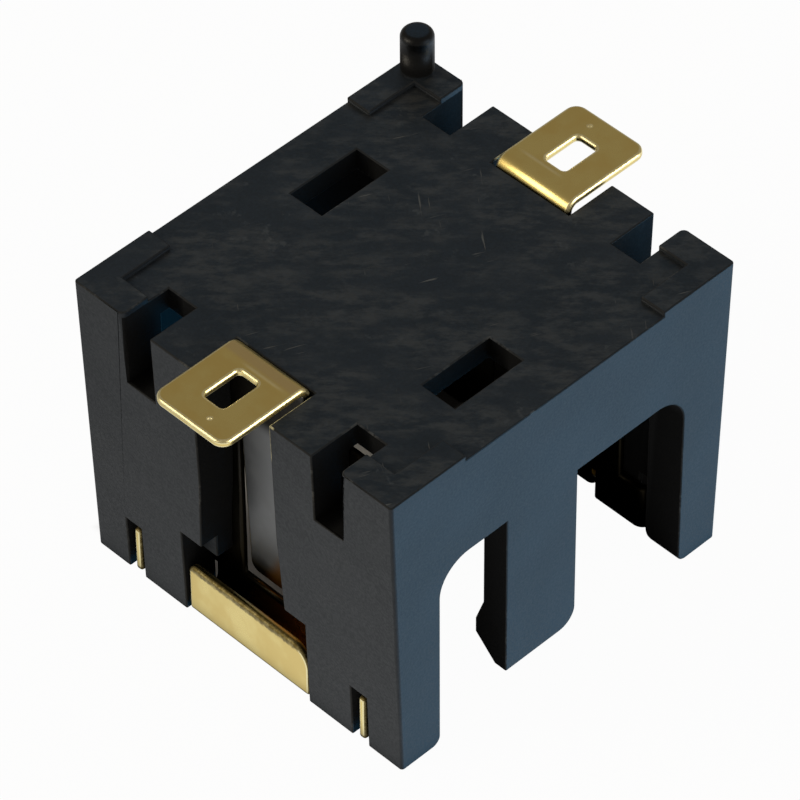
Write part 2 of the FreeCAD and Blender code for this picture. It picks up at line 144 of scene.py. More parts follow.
def parts_of(tree, vector):
    """The three parts of a position or a direction."""
    return add(tree, "ShaderNodeSeparateXYZ", {0: vector}).outputs


def facing_of(tree):
    """The three parts of the way a surface looks, before any bump."""
    return parts_of(tree, add(tree, "ShaderNodeNewGeometry", {}).outputs["True Normal"])


def new_finish(name):
    """An empty node material with its shader, and the surface position in millimetres."""
    material = bpy.data.materials.new(name)
    material.use_nodes = True
    tree = material.node_tree
    tree.nodes.clear()
    shader = tree.nodes.new("ShaderNodeBsdfPrincipled")
    add(tree, "ShaderNodeOutputMaterial", {"Surface": shader.outputs[0]})
    place = tree.nodes.new("ShaderNodeTexCoord")
    scale = add(tree, "ShaderNodeVectorMath", {0: place.outputs["Object"]}, operation="SCALE")
    scale.inputs["Scale"].default_value = 1 / MM
    return material, tree, shader, scale.outputs[0]

# %% Helpers for what a finish is built from
def ramp(tree, value, low, high, bottom=0.0, top=1.0):
    """A smooth step from bottom to top as the value goes from low to high."""
    node = add(tree, "ShaderNodeMapRange", {
        "Value": value, "From Min": low, "From Max": high, "To Min": bottom, "To Max": top,
    }, interpolation_type="SMOOTHSTEP")
    return node.outputs[0]


def blend(tree, amount, first, second):
    """A mix of two colours."""
    node = add(tree, "ShaderNodeMix", {0: amount, 6: first, 7: second}, data_type="RGBA")
    return node.outputs[2]


def layered(tree, colour, *layers):
    """A colour with others laid over it in turn, each with its own amount."""
    for amount, over in layers:
        colour = blend(tree, amount, colour, over)
    return colour


def shifted(tree, number, *shifts):
    """A number with shifts added in turn, each one only where its mask is."""
    for mask, shift in shifts:
        number = sums(tree, "ADD", number, sums(tree, "MULTIPLY", mask, shift))
    return number


def noise(tree, place, per_mm, detail=3.0, roughness=0.55, stretch=(1, 1, 1)):
    """Noise from 0 to 1, with the given number of swells per millimetre."""
    if stretch != (1, 1, 1):
        node = add(tree, "ShaderNodeVectorMath", {0: place, 1: stretch}, operation="MULTIPLY")
        place = node.outputs[0]
    node = add(tree, "ShaderNodeTexNoise", {
        "Vector": place, "Scale": per_mm, "Detail": detail, "Roughness": roughness,
    })
    return node.outputs[0]


def relief(tree, height, depth_mm, under=None):
    """A bump of the given depth, on top of another one."""
    inputs = {"Height": height, "Distance": depth_mm * MM, "Strength": 1.0}
    if under is not None:
        inputs["Normal"] = under
    return add(tree, "ShaderNodeBump", inputs).outputs[0]


def grey(level):
    """A colour with no hue."""
    return (level, level, level, 1.0)

# %% [markdown]
# ## The black moulding
#
# The housing is a heat-proof black plastic, filled with fibre, from a tool with a fine matt
# surface. It is never one flat colour: there is a fine grain, slow patches where the fibre
# comes near the surface, and on the flat top a field of pale rubs and short scratches from
# handling. The top is the only face that shows scratches, so a mask made from the surface's
# direction and height keeps them there. A mask is a number that is 1 where something shows
# and 0 elsewhere. Its borders are pairs of numbers between which it rises or falls.

# %% Where the mounting face is
PEG_TOP = cad_box[1][2] / MM
FACE_LEVEL = (PEG_TOP - 2.1, PEG_TOP - 1.9)
LOOKS_UP = (0.9, 0.98)


def mounting_face_mask(tree, place):
    """1 on surfaces that look up near the top of the housing, 0 elsewhere."""
    looks_up = ramp(tree, facing_of(tree)[2], *LOOKS_UP)
    high = ramp(tree, parts_of(tree, place)[2], *FACE_LEVEL)
    return sums(tree, "MULTIPLY", looks_up, high)


print("the mounting face's rubs start at", round(FACE_LEVEL[0], 2), "mm")

# %% [markdown]
# ## Inside the moulding
#
# The outer faces come off a polished side of the tool and the inner ones off its core, which is
# left rough. The walls of the windows, the notches and the slot and the flanks of the arms are
# almost pure black, and that black is painted shade. A second mask finds them by their direction
# and place, makes them rougher and paints the shade on them, so one finish can serve the whole
# part.

# %% Where the inner surfaces are
INNER_SIDE = 6.75
INNER_END = 6.4
INNER_FLOOR = 11.5
INNER_BORDER = 0.1
UNDER_FACE = (11.95, 11.9)
SQUARE_ON = (0.6, 0.7)


def inner_rough_and_shade_mask(tree, place):
    """1 on the inner surfaces, which are rougher and get painted shade, 0 on the outer faces."""
    facing = facing_of(tree)
    where = parts_of(tree, place)
    found = []
    for i, limit in enumerate((INNER_SIDE, INNER_END)):
        turned = ramp(tree, sums(tree, "ABSOLUTE", facing[i]), *SQUARE_ON)
        within = ramp(tree, sums(tree, "ABSOLUTE", where[i]), limit, limit - INNER_BORDER)
        found.append(sums(tree, "MULTIPLY", turned, within))
    low = ramp(tree, where[2], INNER_FLOOR, INNER_FLOOR - INNER_BORDER)
    found.append(sums(tree, "MULTIPLY", ramp(tree, facing[2], *SQUARE_ON), low))
    below_top = ramp(tree, where[2], *UNDER_FACE)
    return sums(tree, "MULTIPLY", sums(tree, "MAXIMUM", *found), below_top)


print("inner walls lie within", INNER_SIDE, "by", INNER_END, "mm of the middle")

# %% [markdown]
# ## Rubs and scratches
#
# The top face rubs against other parts in a bag or on a bench, and its marks are of three
# kinds: smeared patches that run along one diagonal, small pale spots, and thin scratches.
# Each is noise that is cut off, so that only its higher parts are left, and for the patches
# and the scratches it is stretched first. Drawn marks would have to be placed by hand.
# Noise spreads them evenly and gives the same marks in every run.

# %% Scratches and rubs
DIAGONAL = -45
BROAD_PATCH = (0.38, 0.6)
FINE_PATCH = (0.36, 0.66)
RUB_PEAK = (0.6, 0.74)
RUB_AREA = (0.44, 0.6)
SCRATCH_PEAK = (0.7, 0.77)
SCRATCH_AREA = (0.52, 0.64)


def turned_about(tree, place, degrees, centre=(0, 0, 0)):
    """The position turned about an upright axis."""
    return add(tree, "ShaderNodeVectorRotate", {
        "Vector": place, "Angle": math.radians(degrees), "Center": centre,
    }, rotation_type="Z_AXIS").outputs[0]


def smeared_patches(tree, place):
    """Broad soft patches, drawn out along the diagonal, broken up by finer ones."""
    turned = turned_about(tree, place, DIAGONAL)
    broad = noise(tree, turned, 0.55, detail=4.0, roughness=0.62, stretch=(0.6, 1.15, 1.0))
    fine = noise(tree, turned, 2.4, detail=4.0, roughness=0.65, stretch=(0.5, 1.2, 1.0))
    return sums(tree, "MULTIPLY", ramp(tree, broad, *BROAD_PATCH), ramp(tree, fine, *FINE_PATCH))


def small_rubs(tree, place):
    """Small pale spots where something hard has touched."""
    spot = ramp(tree, noise(tree, place, 1.9, detail=4.0, roughness=0.6), *RUB_PEAK)
    gate = ramp(tree, noise(tree, place, 0.33, detail=2.0), *RUB_AREA)
    return sums(tree, "MULTIPLY", spot, gate)


def short_scratches(tree, place, turn_degrees, shift):
    """Thin marks in one direction: stretched noise, kept only at its very peaks."""
    turned = turned_about(tree, place, turn_degrees, centre=(shift, shift, 0))
    line = noise(tree, turned, 1.3, detail=2.0, roughness=0.5, stretch=(0.45, 5.0, 1.0))
    gate = ramp(tree, noise(tree, place, 0.7, detail=1.0), *SCRATCH_AREA)
    return sums(tree, "MULTIPLY", ramp(tree, line, *SCRATCH_PEAK), gate)

# %% The moulding's finish
MOULDING = (0.0105, 0.0142, 0.0185, 1.0)
MOULDING_PATCH = (0.0150, 0.0190, 0.024, 1.0)
SMEAR_COLOUR = (0.047, 0.047, 0.045, 1.0)
RUB_COLOUR = (0.075, 0.080, 0.082, 1.0)
SCRATCH_COLOUR = (0.17, 0.17, 0.16, 1.0)
SHADE_BLACK = (0.0012, 0.0015, 0.0018, 1.0)
SMEAR_SHARE = 0.75
RUB_SHARE = 0.5
SCRATCH_SHARE = 0.5
SCRATCH_TURNS = ((38, 3.0), (-64, 11.0))
SLOW_PATCH = (0.35, 0.7)
MOULDING_GLOSS = 0.25
MOULDING_ROUGHNESS = (0.5, 0.62)
SMEAR_SMOOTHER = 0.06
CORE_ROUGHER = 0.45
PEG_SMOOTHER = 0.18
PEG_FOOT = (12.2, 12.3)
GRAIN_PER_MM = 11.0
GRAIN_SPAN = (0.3, 0.7)
GRAIN_DEPTH = 0.006
SWELL_DEPTH = 0.02
SCRATCH_DEPTH = 0.01


def make_moulding(name):
    """The housing's finish, with marks on its top, a rougher inside, and painted shade that makes
    the inside and the peg nearly black.
    """
    material, tree, shader, place = new_finish(name)
    top = mounting_face_mask(tree, place)
    inner = inner_rough_and_shade_mask(tree, place)
    # The peg is made smoother, and painted shade makes it nearly black.
    peg_gloss_and_shade = ramp(tree, parts_of(tree, place)[2], *PEG_FOOT)
    slow = ramp(tree, noise(tree, place, 0.3), *SLOW_PATCH)
    smears = sums(tree, "MULTIPLY", smeared_patches(tree, place), top)
    rubs = sums(tree, "MULTIPLY", small_rubs(tree, place), top)
    marks = [short_scratches(tree, place, turned, shift) for turned, shift in SCRATCH_TURNS]
    marks = sums(tree, "MULTIPLY", sums(tree, "MAXIMUM", *marks), top)
    colour = layered(
        tree, blend(tree, slow, MOULDING, MOULDING_PATCH),
        (sums(tree, "MULTIPLY", smears, SMEAR_SHARE), SMEAR_COLOUR),
        (sums(tree, "MULTIPLY", rubs, RUB_SHARE), RUB_COLOUR),
        (sums(tree, "MULTIPLY", marks, SCRATCH_SHARE), SCRATCH_COLOUR),
        # Painted shade: the inner surfaces and the peg are painted nearly black.
        (inner, SHADE_BLACK),
        (peg_gloss_and_shade, SHADE_BLACK),
    )
    tree.links.new(colour, shader.inputs["Base Color"])

    grain = noise(tree, place, GRAIN_PER_MM)
    rough = shifted(
        tree, ramp(tree, grain, *GRAIN_SPAN, *MOULDING_ROUGHNESS),
        (smears, -SMEAR_SMOOTHER), (inner, CORE_ROUGHER), (peg_gloss_and_shade, -PEG_SMOOTHER),
    )
    tree.links.new(rough, shader.inputs["Roughness"])
    bump = relief(tree, grain, GRAIN_DEPTH)
    bump = relief(tree, noise(tree, place, 0.9, detail=2.0), SWELL_DEPTH, under=bump)
    bump = relief(tree, marks, -SCRATCH_DEPTH, under=bump)
    tree.links.new(bump, shader.inputs["Normal"])
    shader.inputs["Specular IOR Level"].default_value = MOULDING_GLOSS
    return material


moulding = make_moulding("black_moulding")
print("moulding finish:", len(moulding.node_tree.nodes), "nodes")

# %% [markdown]
# ## Rubbed edges and painted highlights
#
# Where two faces meet, the real moulding is a little rounded and a little polished by use. The
# thin pale lines round the windows, the notches and the slot are partly that wear and partly
# painted highlight. On the slot's upper edges a painted reflection of the tab's gold is laid on.
# Noise alone would not find those edges. The rounding is made by a modifier, though, and a
# modifier can give the new faces a second finish, so the edge gets its own.

# %% Position on the contact
def contact_place(tree, place):
    """The position in millimetres as if this were the front contact."""
    parts = parts_of(tree, place)
    way = sums(tree, "MULTIPLY", sums(tree, "SIGN", parts[1]), -1.0)
    across = sums(tree, "MULTIPLY", parts[0], way)
    along = sums(tree, "MULTIPLY", parts[1], way)
    return across, along, parts[2]

# %% The edge's finish
EDGE_DARK = (0.026, 0.027, 0.028, 1.0)
EDGE_PALE_AND_HIGHLIGHT = (0.085, 0.088, 0.088, 1.0)
PAINTED_GOLD_REFLECTION = (0.62, 0.58, 0.38, 1.0)
EDGE_GLOSS = 0.08
EDGE_ROUGHNESS = (0.62, 0.5)
EDGE_GRAIN_DEPTH = 0.005
WORN_BROAD = (0.5, 0.68)
WORN_FINE = (0.35, 0.6)
LEAST_GOLD_REFLECTION = 0.5
SLOT_HALF = 1.75
SLOT_REFLECTION_BAND = (0.22, 0.12)
SLOT_OUTER = (-5.7, -5.9)
SLOT_UPPER = (10.3, 10.6)


def slot_gold_reflection_mask(tree, place):
    """1 on the slot's upper edges, where a reflection of the tab's gold is painted, 0 elsewhere.
    """
    across, along, height = contact_place(tree, place)
    from_edge = sums(tree, "ABSOLUTE", sums(tree, "SUBTRACT", across, SLOT_HALF))
    return sums(tree, "MULTIPLY", ramp(tree, from_edge, *SLOT_REFLECTION_BAND),
                ramp(tree, along, *SLOT_OUTER), ramp(tree, height, *SLOT_UPPER))


def make_edge_wear_and_highlight(name):
    """A paler line on the housing's edges, partly wear and partly painted highlight, broken up by
    noise.
    """
    material, tree, shader, place = new_finish(name)
    broad = ramp(tree, noise(tree, place, 0.55, detail=4.0, roughness=0.65), *WORN_BROAD)
    fine = ramp(tree, noise(tree, place, 7.0), *WORN_FINE)
    wear_and_highlight = sums(tree, "MULTIPLY", broad, fine)
    uneven = ramp(tree, fine, 0.0, 1.0, LEAST_GOLD_REFLECTION, 1.0)
    painted_gold_reflection = sums(tree, "MULTIPLY", slot_gold_reflection_mask(tree, place), uneven)
    # The pale line is partly wear and partly painted highlight.
    colour = blend(tree, wear_and_highlight, EDGE_DARK, EDGE_PALE_AND_HIGHLIGHT)
    # Painted reflection of the tab's gold on the slot's upper edges.
    colour = blend(tree, painted_gold_reflection, colour, PAINTED_GOLD_REFLECTION)
    tree.links.new(colour, shader.inputs["Base Color"])
    rough = ramp(tree, wear_and_highlight, 0.0, 1.0, *EDGE_ROUGHNESS)
    tree.links.new(rough, shader.inputs["Roughness"])
    grain = noise(tree, place, GRAIN_PER_MM)
    tree.links.new(relief(tree, grain, EDGE_GRAIN_DEPTH), shader.inputs["Normal"])
    shader.inputs["Specular IOR Level"].default_value = EDGE_GLOSS
    return material


edge_wear_and_highlight = make_edge_wear_and_highlight("edge_wear_and_highlight")
print("edge finish:", len(edge_wear_and_highlight.node_tree.nodes), "nodes")

# %% [markdown]
# ## Soft edges by modifiers
#
# The mesh from the solid model has knife-sharp edges and its flat faces are cut into
# triangles. Its mesh isn't edited. A stack of modifiers does the work instead: join points
# that lie on each other, join the triangles of a flat face, choose the edges, round them,
# and make the shading follow the large faces. The choice is a small node group, because the
# rounding modifier's own angle limit also takes hollow corners and the shallow end of a
# curved lip, and throws spikes there. The group takes only edges that stick out sharply. On
# the housing points are joined over a slightly longer distance, because the drafted wall
# meets the round lip of a notch in a sliver far thinner than the rounding.

# %% Choose the sharp outer edges
SHARP_ANGLE = math.radians(60)


def make_edge_chooser(name):
    """A node group that weights each outward edge sharper than the limit."""
    group = bpy.data.node_groups.new(name, "GeometryNodeTree")
    for way in ("INPUT", "OUTPUT"):
        group.interface.new_socket("Geometry", in_out=way, socket_type="NodeSocketGeometry")
    start = group.nodes.new("NodeGroupInput")
    end = group.nodes.new("NodeGroupOutput")
    angle = group.nodes.new("GeometryNodeInputMeshEdgeAngle")
    sharp = add(group, "FunctionNodeCompare", {0: angle.outputs["Signed Angle"], 1: SHARP_ANGLE},
                data_type="FLOAT", operation="GREATER_THAN")
    weight = add(group, "GeometryNodeStoreNamedAttribute", {
        "Geometry": start.outputs[0], "Name": "bevel_weight_edge", "Value": sharp.outputs[0],
    }, data_type="FLOAT", domain="EDGE")
    group.links.new(weight.outputs[0], end.inputs[0])
    return group


edge_chooser = make_edge_chooser("sharp_outer_edges")
print("edges sharper than", round(math.degrees(SHARP_ANGLE)), "degrees are rounded")

# %% The modifier stack
FLAT_ANGLE = math.radians(0.6)
ROUNDING_STEPS = 3
SECOND_FINISH = 1
LARGE_FACES_LEAD = 100


def soften_edges(piece, width_mm, joining_mm):
    """Round the sharp edges of a piece by modifiers, with the piece's second finish."""
    weld = piece.modifiers.new("join_points", "WELD")
    weld.merge_threshold = joining_mm * MM
    flat = piece.modifiers.new("join_flat_faces", "DECIMATE")
    flat.decimate_type = "DISSOLVE"
    flat.angle_limit = FLAT_ANGLE
    choice = piece.modifiers.new("choose_edges", "NODES")
    choice.node_group = edge_chooser
    rounding = piece.modifiers.new("soft_edges", "BEVEL")
    rounding.width = width_mm * MM
    rounding.segments = ROUNDING_STEPS
    rounding.limit_method = "WEIGHT"
    rounding.use_clamp_overlap = False
    rounding.loop_slide = False
    rounding.harden_normals = False
    rounding.material = SECOND_FINISH
    shading = piece.modifiers.new("even_shading", "WEIGHTED_NORMAL")
    shading.keep_sharp = False
    shading.weight = LARGE_FACES_LEAD


def dress(piece, finishes):
    """Give a piece its finishes, in order of slot."""
    piece.data.materials.clear()
    for finish in finishes:
        piece.data.materials.append(finish)


HOUSING_EDGE = 0.05
HOUSING_JOIN = 0.01
dress(housing, [moulding, edge_wear_and_highlight])
soften_edges(housing, HOUSING_EDGE, HOUSING_JOIN)
print("housing edges are rounded by", HOUSING_EDGE, "mm")

# %% [markdown]
# ## The plated contacts
#
# Each contact is one strip of thin sheet with a bright gold plating. Rolling leaves faint
# lines along the sheet, plating leaves it slightly satin, and the press leaves a crease
# beside the tab's bend and a rougher, paler band on every cut edge. The back contact is the
# front one turned half round, and so are its marks: the position is turned with the sign of
# Y. Only the front contact has a brown stain beside its bend, so that mark isn't repeated.

# %% Marks beside the tab's bend
CREASE_AT = -6.42
CREASE_HALF = 0.10
CREASE_START = (-0.75, -0.15)
CREASE_END = (1.4, 0.8)
STAIN_AT = -6.12
STAIN_BAND = (0.30, 0.1)
TAB_LEVEL = (12.1, 12.2)
FRONT_HALF = (1.0, -1.0)


def front_mask(tree, place):
    """1 on the front contact, 0 on the back one."""
    return ramp(tree, parts_of(tree, place)[1], *FRONT_HALF)


def crease_mask(tree, place):
    """1 on a thin line across the tab, just outside its bend, 0 elsewhere."""
    across, along, height = contact_place(tree, place)
    offset = sums(tree, "ABSOLUTE", sums(tree, "SUBTRACT", along, CREASE_AT))
    return sums(tree, "MULTIPLY", ramp(tree, offset, CREASE_HALF, 0.0),
                ramp(tree, across, *CREASE_START), ramp(tree, across, *CREASE_END),
                ramp(tree, height, *TAB_LEVEL))


def bend_stain_mask(tree, place):
    """1 in a band beside the front tab's bend, where the plating was stretched, 0 elsewhere."""
    _, along, height = contact_place(tree, place)
    offset = sums(tree, "ABSOLUTE", sums(tree, "SUBTRACT", along, STAIN_AT))
    return sums(tree, "MULTIPLY", ramp(tree, offset, *STAIN_BAND),
                ramp(tree, height, *TAB_LEVEL), front_mask(tree, place))

# %% [markdown]
# ## The blade behind the slot
#
# The blade goes down behind the end wall. Its outer side, seen through the slot, is the tongue: a
# plain mid grey, with a painted reflection of the wing's gold low on the right. Beside the
# tongue, close under the tab, at the tongue's foot and on the side of the bay, shade is painted
# on it, which makes it nearly black. Faces cut along these borders would need another mesh. Masks
# made from the position give the same borders on the solid model's own mesh.

# %% Where the blade is bare, and where shade is painted on it
BEHIND_WALL = (-6.15, -5.95)
BLADE_FOOT = (1.5, 2.6)
BLADE_TOP = (11.75, 11.45)
TONGUE_SIDE = (1.38, 1.44)
TONGUE_FOOT = (2.9, 2.1)
UNDER_TAB = (8.9, 9.6)
UNDER_BEND = (11.9, 11.84)
BAY_SIDE = (0.3, 0.1)
AMBER_LEAN = 0.55
AMBER_EDGE = (-2.05, -1.45)
AMBER_TOP = (4.6, 3.6)


def blade_mask(tree, place):
    """1 on the blade and the tongue between the tab's bend and the wing, 0 elsewhere."""
    _, along, height = contact_place(tree, place)
    return sums(tree, "MULTIPLY", ramp(tree, along, *BEHIND_WALL),
                ramp(tree, height, *BLADE_FOOT), ramp(tree, height, *BLADE_TOP))


def blade_shade_mask(tree, place):
    """1 beside and below the tongue, close under the tab and on the bay's side, where shade is
    painted, 0 elsewhere.
    """
    across, along, height = contact_place(tree, place)
    end_side = sums(tree, "SIGN", parts_of(tree, place)[1])
    outwards = sums(tree, "MULTIPLY", facing_of(tree)[1], end_side)
    dull = sums(
        tree, "MAXIMUM",
        ramp(tree, sums(tree, "ABSOLUTE", across), *TONGUE_SIDE),
        ramp(tree, height, *UNDER_TAB),
        ramp(tree, height, *TONGUE_FOOT),
        ramp(tree, outwards, *BAY_SIDE),
    )
    return sums(tree, "MULTIPLY", ramp(tree, along, *BEHIND_WALL), dull,
                ramp(tree, height, *UNDER_BEND))


def wing_reflection_mask(tree, place):
    """1 low on the right of the front tongue, where a reflection of the wing's gold is painted, 0
    elsewhere.
    """
    across, along, height = contact_place(tree, place)
    edge = sums(tree, "SUBTRACT", across, sums(tree, "MULTIPLY", height, AMBER_LEAN))
    return sums(tree, "MULTIPLY", ramp(tree, edge, *AMBER_EDGE), ramp(tree, height, *AMBER_TOP),
                front_mask(tree, place), ramp(tree, along, *BEHIND_WALL))

# %% [markdown]
# ## The wing's torn edge and the shade at its foot
#
# The wing is folded up from the blade's foot, and its cut is the coarsest on the part: an uneven
# olive band runs along its top and its sides, with bright metal between. Along its lowest edge,
# close to the floor, the same olive is painted shade. The mask takes the faces that don't look
# straight out and a strip along the top and the lowest edge. Noise makes the upper strip's border
# ragged, as a tear is.

# %% Where the wing is torn
WING_FLAT = (0.97, 0.8)
WING_UPPER = (1.82, 1.94)
WING_LOWER = (0.26, 0.18)
WING_OUTER = (-6.9, -7.0)
WING_TOP = (2.6, 2.4)
TEAR_SPAN = (0.3, 0.7)
TEAR = (-0.03, 0.03)
OLIVE_SPAN = (0.35, 0.6)
OLIVE_SHARE = (0.8, 1.0)


def torn_edge_and_shade_mask(tree, place):
    """1 on the wing's torn edges, which look up or to the side, and on its lowest edge, where
    shade is painted, 0 elsewhere.
    """
    _, along, height = contact_place(tree, place)
    rough = noise(tree, place, 7.0, detail=4.0, roughness=0.7)
    uneven = sums(tree, "ADD", height, ramp(tree, rough, *TEAR_SPAN, *TEAR))
    edge = sums(
        tree, "MAXIMUM",
        ramp(tree, sums(tree, "ABSOLUTE", facing_of(tree)[1]), *WING_FLAT),
        ramp(tree, uneven, *WING_UPPER),
        # The lowest edge: painted shade close to the floor.
        ramp(tree, height, *WING_LOWER),
    )
    return sums(tree, "MULTIPLY", edge, ramp(tree, along, *WING_OUTER),
                ramp(tree, height, *WING_TOP), ramp(tree, rough, *OLIVE_SPAN, *OLIVE_SHARE))

# %% The plating's finish
PLATE = (0.76, 0.62, 0.24, 1.0)
PLATE_DEEP = (0.70, 0.54, 0.19, 1.0)
PLATE_PALE = (0.88, 0.80, 0.50, 1.0)
PLATE_BROWN = (0.60, 0.46, 0.26, 1.0)
BLADE_GREY = (0.185, 0.19, 0.192, 1.0)
BLADE_SHADE = (0.012, 0.010, 0.006, 1.0)
PAINTED_WING_REFLECTION = (0.22, 0.095, 0.012, 1.0)
WING_OLIVE = (0.16, 0.12, 0.038, 1.0)
CREASE_SHARE = 0.5
STAIN_SHARE = 0.6
WING_REFLECTION_SHARE = 0.8
PLATE_ROUGHNESS = (0.27, 0.36)
BLADE_ROUGHER = 0.2
CREASE_ROUGHER = 0.06
CLOUD_SPAN = (0.35, 0.65)
ROLLED_STRETCH = (9.0, 0.8, 0.8)
ROLLED_DEPTH = 0.0016
SPECKLE_DEPTH = 0.0012
CREASE_DEPTH = 0.02


def make_plating(name):
    """The sheet's finish: gold on the tab and the wing, grey and rougher on the blade, with
    painted shade and a painted reflection of the wing's gold on the blade.
    """
    material, tree, shader, place = new_finish(name)
    cloud = ramp(tree, noise(tree, place, 0.8), *CLOUD_SPAN)
    creases = crease_mask(tree, place)
    bare = blade_mask(tree, place)
    colour = layered(
        tree, blend(tree, cloud, PLATE, PLATE_DEEP),
        (sums(tree, "MULTIPLY", creases, CREASE_SHARE), PLATE_PALE),
        (sums(tree, "MULTIPLY", bend_stain_mask(tree, place), STAIN_SHARE), PLATE_BROWN),
        (bare, BLADE_GREY),
        # Olive on the wing's torn edges, and painted shade on its lowest edge.
        (torn_edge_and_shade_mask(tree, place), WING_OLIVE),
        # Painted shade on the blade: beside and under the tongue, under the tab and on the bay's
        # side.
        (blade_shade_mask(tree, place), BLADE_SHADE),
        # Painted reflection of the wing's gold, low on the front tongue.
        (sums(tree, "MULTIPLY", wing_reflection_mask(tree, place), WING_REFLECTION_SHARE), PAINTED_WING_REFLECTION),
    )
    tree.links.new(colour, shader.inputs["Base Color"])
    shader.inputs["Metallic"].default_value = 1.0

    rough = shifted(tree, ramp(tree, cloud, 0.0, 1.0, *PLATE_ROUGHNESS),
                    (bare, BLADE_ROUGHER), (creases, CREASE_ROUGHER))
    tree.links.new(rough, shader.inputs["Roughness"])
    bump = relief(tree, noise(tree, place, 2.2, stretch=ROLLED_STRETCH), ROLLED_DEPTH)
    bump = relief(tree, noise(tree, place, 16.0, detail=2.0), SPECKLE_DEPTH, under=bump)
    bump = relief(tree, creases, CREASE_DEPTH, under=bump)
    tree.links.new(bump, shader.inputs["Normal"])
    return material


plating = make_plating("plated_sheet")
print("plating finish:", len(plating.node_tree.nodes), "nodes")

# %% [markdown]
# ## Cut edges of the sheet
#
# The press shears the sheet: part of the cut is burnished and part is torn, so a cut edge
# sparkles more than the flat. The rounding modifier marks those edges for us again. It only
# reaches the rim, so the rim gets a finish that is rougher than the flat and paler, and that
# paleness is partly painted highlight.

# %% The rim's finish
RIM_CREAM = (0.82, 0.72, 0.38, 1.0)
BLADE_OLIVE = (0.30, 0.27, 0.15, 1.0)
RIM_ROUGHNESS = (0.28, 0.42)
RIM_PALE_SPAN = (0.4, 0.7)
RIM_TORN_SPAN = (0.3, 0.7)
RIM_DEPTH = 0.008
TEAR_ROUGHER = 0.25
SHEET_EDGE = 0.11
SHEET_JOIN = 0.001


def make_sheared_rim_and_highlight(name):
    """The finish of the sheet's rims: cream and pale gold, partly painted highlight, olive on the
    blade and the wing, with painted shade on the blade and on the wing's lowest edge.
    """
    material, tree, shader, place = new_finish(name)
    torn = noise(tree, place, 9.0, detail=4.0, roughness=0.7)
    torn_edge_and_shade = torn_edge_and_shade_mask(tree, place)
    colour = layered(
        # Paler cream rims: partly the burnished cut, partly painted highlight.
        tree, blend(tree, ramp(tree, torn, *RIM_PALE_SPAN), RIM_CREAM, PLATE_PALE),
        (blade_mask(tree, place), BLADE_OLIVE),
        # Painted shade on the blade's rims: beside and under the tongue, under the tab and on the
        # bay's side.
        (blade_shade_mask(tree, place), BLADE_SHADE),
        # Olive on the wing's torn rims, and painted shade on its lowest edge.
        (torn_edge_and_shade, WING_OLIVE),
    )
    tree.links.new(colour, shader.inputs["Base Color"])
    shader.inputs["Metallic"].default_value = 1.0
    rough = ramp(tree, torn, *RIM_TORN_SPAN, *RIM_ROUGHNESS)
    rough = shifted(tree, rough, (torn_edge_and_shade, TEAR_ROUGHER))
    tree.links.new(rough, shader.inputs["Roughness"])
    tree.links.new(relief(tree, torn, RIM_DEPTH), shader.inputs["Normal"])
    return material


sheared_rim_and_highlight = make_sheared_rim_and_highlight("sheared_rim_and_highlight")
for contact in contacts:
    dress(contact, [plating, sheared_rim_and_highlight])
    soften_edges(contact, SHEET_EDGE, SHEET_JOIN)
print("sheet edges are rounded by", SHEET_EDGE, "mm")

# %% [markdown]
# ## The pips on the tabs
#
# Near the outer end of each tab the photograph shows one tiny bright point. It is read as a
# pip that the press tool leaves. A pip is small but it catches the light, so it is a real
# bump: a bell-shaped profile turned round its axis, which meets the sheet without a step.

# %% Turn a pip
PIP_RADIUS = 0.13
PIP_HEIGHT = 0.06
PIP_SUNK = 0.004
PIP_RINGS = 7
PIP_STEPS = 24
TAB_TOP = 12.26
PIP_PLACES = {"front": (0.45, -8.77), "back": (-0.45, 8.77)}


def turn_pip(name, centre):
    """A bell-shaped bump on the tab's top, with its foot just below the surface."""
    mesh = bmesh.new()
    rows = []
    for ring in range(1, PIP_RINGS + 1):
        share = ring / PIP_RINGS
        radius = PIP_RADIUS * share
        rise = PIP_HEIGHT * math.cos(share * math.pi / 2) ** 2 - PIP_SUNK * share
        angles = [2 * math.pi * step / PIP_STEPS for step in range(PIP_STEPS)]
        rows.append([mesh.verts.new((
            (centre[0] + radius * math.cos(angle)) * MM,
            (centre[1] + radius * math.sin(angle)) * MM,
            (TAB_TOP + rise) * MM,
        )) for angle in angles])
    crown = mesh.verts.new((centre[0] * MM, centre[1] * MM, (TAB_TOP + PIP_HEIGHT) * MM))
    for step in range(PIP_STEPS):
        after = (step + 1) % PIP_STEPS
        mesh.faces.new((crown, rows[0][step], rows[0][after]))
        for inner, outer in zip(rows, rows[1:]):
            mesh.faces.new((inner[step], outer[step], outer[after], inner[after]))
    mesh.faces.new(list(reversed(rows[-1])))
    bmesh.ops.recalc_face_normals(mesh, faces=mesh.faces)
    data = bpy.data.meshes.new(name)
    mesh.to_mesh(data)
    mesh.free()
    for face in data.polygons:
        face.use_smooth = len(face.vertices) < PIP_STEPS
    piece = bpy.data.objects.new(name, data)
    bpy.context.collection.objects.link(piece)
    return piece


pips = []
for end, centre in PIP_PLACES.items():
    pip = turn_pip(end + "_tab_pip", centre)
    dress(pip, [sheared_rim_and_highlight])
    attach(pip, "root")
    pips.append(pip)
    print(pip.name, "is", 2 * PIP_RADIUS, "mm across")

# %% [markdown]
# ## The table and the studio
#
# The photograph has a pure white ground. A white floor that was simply lit until it clipped
# would flood the object too. So the floor is an ordinary pale surface for the light that
# bounces off it, and shows white only to rays from the camera and in reflections. In a
# rectangle under and behind the housing the camera sees the true floor, which keeps a soft
# shadow there. In reflections the patch under the housing is dark, because hardly any light
# gets in there. Towards the left the reflected table fades a little, which is why the front
# wall is darker on that side.
# One small piece of the floor, under the far left corner of the housing, is darkened: the
# camera looks down at it through a window of the top, where the photograph is black.

